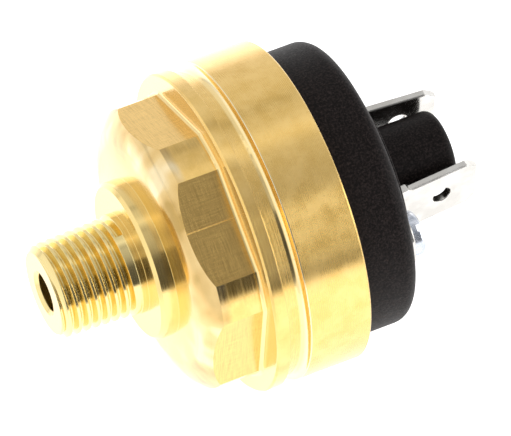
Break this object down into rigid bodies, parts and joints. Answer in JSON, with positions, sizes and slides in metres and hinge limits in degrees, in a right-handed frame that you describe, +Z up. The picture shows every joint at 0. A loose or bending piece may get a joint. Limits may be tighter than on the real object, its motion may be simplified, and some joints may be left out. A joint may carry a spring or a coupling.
{
  "type": "pressure switch",
  "caption": "Adjustable diaphragm pressure switch: brass body with conical thread and hexagon, black switch head, twin blade terminals and an adjusting boss.",
  "frame": {"origin": "centre of the port mouth, on the flat tip of the inlet thread", "axes": "+X along the switch's axis from the inlet thread to the terminals; the blade terminals stand at -Y (near) and +Y (far); +Z up, as the switch lies on its flange and clamp ring"},
  "size_m": [0.0445, 0.033, 0.033],
  "materials": {
    "turned_brass": "fine turned and polished",
    "black_moulding": "matte, glass-filled",
    "tinned_blade": "bright tin plate",
    "zinc_steel": "bright zinc plate",
    "inner_steel": "plain",
    "piston_aluminium": "turned",
    "elastomer": "matte",
    "insulating_plastic": "natural moulded",
    "contact_brass": "stamped",
    "contact_silver": "polished",
    "adjuster_brass": "machined"
  },
  "bodies": {
    "housing": {"pressure_body": "turned_brass", "clamp_ring": "turned_brass", "cover": "black_moulding", "terminal_tab_near": "tinned_blade", "terminal_tab_far": "tinned_blade", "terminal_screw_near": "zinc_steel", "terminal_screw_far": "zinc_steel", "guide_plate": "inner_steel", "range_spring": "inner_steel", "diaphragm": "elastomer", "diaphragm_seal": "elastomer", "head_gasket": "elastomer", "fixed_contact_near": "contact_brass", "fixed_contact_far": "contact_brass", "fixed_tip_near": "contact_silver", "fixed_tip_far": "contact_silver", "adjuster_insert": "adjuster_brass"},
    "plunger_group": {"piston": "piston_aluminium", "plunger": "insulating_plastic", "contact_bridge": "contact_brass", "bridge_tip_near": "contact_silver", "bridge_tip_far": "contact_silver", "lower_spring_seat": "insulating_plastic"},
    "adjuster_carrier": {"upper_spring_seat": "inner_steel"},
    "adjuster": {"adjusting_screw": "adjuster_brass"}
  },
  "joints": [
    {"name": "plunger_lift", "type": "slide", "parent": "housing", "child": "plunger_group", "axis": [1, 0, 0], "range_m": [0, 0.0004], "stiffness_N_per_m": 2000, "springref_m": -0.001, "deforming": ["range_spring", "diaphragm"]},
    {"name": "adjuster_travel", "type": "slide", "parent": "housing", "child": "adjuster_carrier", "axis": [1, 0, 0], "range_m": [-0.0015, 0.001], "deforming": ["range_spring"]},
    {"name": "adjuster_turn", "type": "hinge", "parent": "adjuster_carrier", "child": "adjuster", "pos_m": [0.0393, 0, 0], "axis": [1, 0, 0], "range_deg": [-1080, 720]}
  ],
  "couplings": [
    {"joint": "adjuster_turn", "follows": "adjuster_travel", "rad_per_m": 12566}
  ]
}
